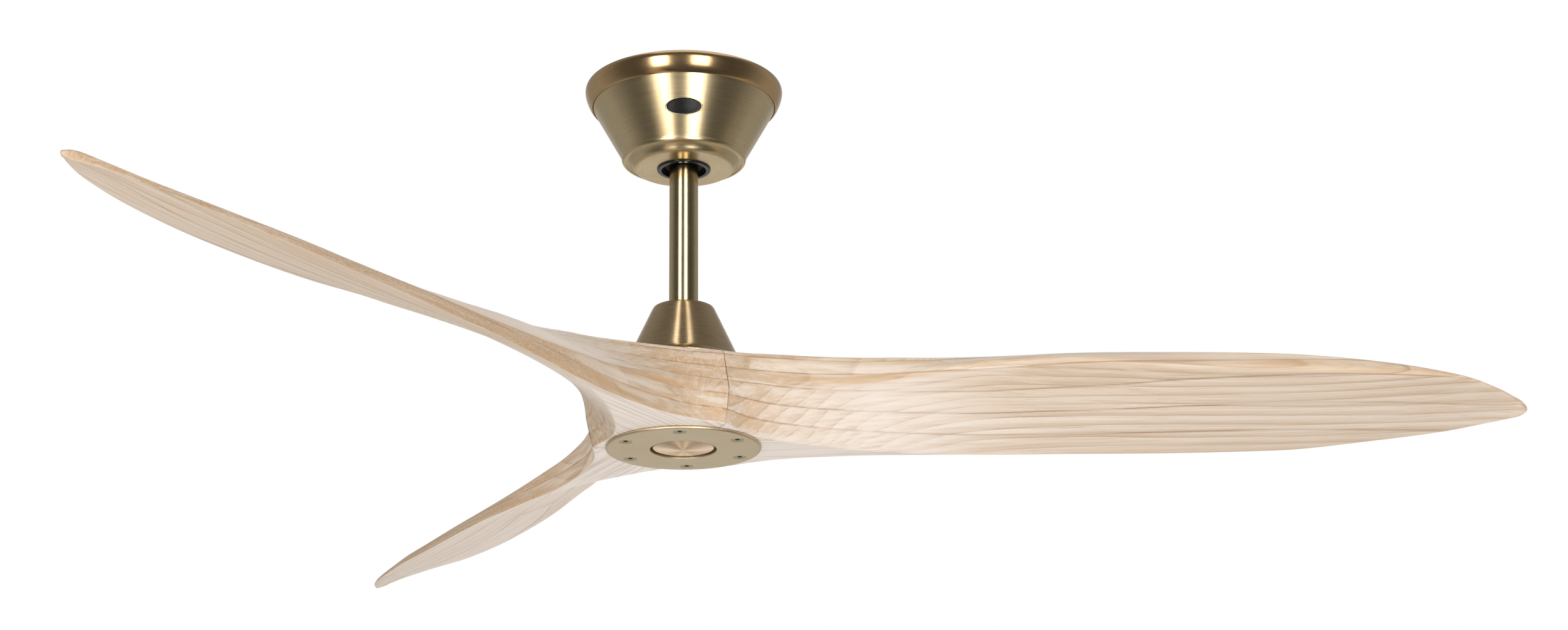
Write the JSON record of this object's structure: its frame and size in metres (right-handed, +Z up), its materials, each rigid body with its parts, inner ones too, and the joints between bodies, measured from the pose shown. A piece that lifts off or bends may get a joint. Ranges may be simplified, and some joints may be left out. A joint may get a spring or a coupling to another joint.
{
  "type": "ceiling fan",
  "caption": "Ceiling fan with carved wooden propeller blades on a brushed brass hub, short downrod and cup canopy; the rotor spins and the hanger ball tilts.",
  "frame": {"origin": "middle of the ceiling bracket's top face, on the ceiling plane", "axes": "+Z up out of the ceiling face along the fan's axis; +X towards the blade that points right, -Y towards the badge side of the canopy"},
  "size_m": [1.1794, 1.3185, 0.3548],
  "materials": {
    "wood": "satin",
    "brass_brushed": "brushed",
    "bronze_dark": "brushed",
    "brass_satin": "satin",
    "plastic_black": "gloss",
    "badge_black": "gloss",
    "steel_zinc": "satin",
    "steel_bright": "polished",
    "screw_brass": "satin",
    "cast_alloy": "matte",
    "lamination_steel": "matte",
    "winding_copper": "lacquered",
    "magnet_dark": "matte",
    "nylon_white": "matte",
    "rubber_black": "matte",
    "board_green": "matte",
    "plastic_white": "matte",
    "cable_grey": "matte"
  },
  "bodies": {
    "ceiling_mount": {"ceiling_bracket": "steel_zinc", "canopy_bowl": "brass_brushed", "canopy_trim_ring": "bronze_dark", "canopy_grommet": "plastic_black", "canopy_badge": "badge_black", "canopy_screw_1": "screw_brass", "canopy_screw_2": "screw_brass", "terminal_block": "plastic_white", "receiver_box": "plastic_white"},
    "seat_liner": {"ball_seat_liner": "nylon_white"},
    "pendant": {"hanger_ball": "plastic_black", "ball_cross_pin": "steel_bright", "downrod": "brass_brushed", "motor_yoke": "cast_alloy", "yoke_bolt": "steel_zinc", "yoke_bolt_nut": "steel_zinc", "yoke_set_screw": "steel_zinc", "cone_washer": "rubber_black", "motor_cone": "brass_brushed", "motor_shaft": "steel_bright", "stator_core": "lamination_steel", "stator_winding": "winding_copper", "motor_board": "board_green", "lower_bearing_inner": "steel_bright", "upper_bearing_inner": "steel_bright", "shaft_circlip": "steel_bright", "end_cap": "brass_brushed", "motor_cable": "cable_grey"},
    "lower_cage": {"lower_bearing_balls": "steel_bright"},
    "upper_cage": {"upper_bearing_balls": "steel_bright"},
    "rotor": {"rotor_bell": "cast_alloy", "rotor_end_cover": "cast_alloy", "cover_screw_1": "steel_zinc", "cover_screw_2": "steel_zinc", "cover_screw_3": "steel_zinc", "magnet_ring": "magnet_dark", "lower_bearing_outer": "steel_bright", "upper_bearing_outer": "steel_bright", "hub_plate": "brass_satin", "blade_1": "wood", "blade_2": "wood", "blade_3": "wood", "plate_screw_1": "screw_brass", "plate_screw_2": "screw_brass", "plate_screw_3": "screw_brass", "plate_screw_4": "screw_brass", "plate_screw_5": "screw_brass", "plate_screw_6": "screw_brass"}
  },
  "joints": [
    {"name": "hanger_tilt_x", "type": "hinge", "parent": "ceiling_mount", "child": "seat_liner", "pos_m": [0, 0, -0.039], "axis": [1, 0, 0], "range_deg": [-6, 6]},
    {"name": "hanger_tilt_y", "type": "hinge", "parent": "seat_liner", "child": "pendant", "pos_m": [0, 0, -0.039], "axis": [0, 1, 0], "range_deg": [-6, 6]},
    {"name": "rotor_spin", "type": "hinge", "parent": "pendant", "child": "rotor", "pos_m": [0, 0, -0.351], "axis": [0, 0, 1], "continuous": true},
    {"name": "lower_cage_spin", "type": "hinge", "parent": "pendant", "child": "lower_cage", "pos_m": [0, 0, -0.3349], "axis": [0, 0, 1], "continuous": true},
    {"name": "upper_cage_spin", "type": "hinge", "parent": "pendant", "child": "upper_cage", "pos_m": [0, 0, -0.2748], "axis": [0, 0, 1], "continuous": true}
  ],
  "couplings": [
    {"joint": "lower_cage_spin", "follows": "rotor_spin", "ratio": 0.619},
    {"joint": "upper_cage_spin", "follows": "rotor_spin", "ratio": 0.619}
  ]
}
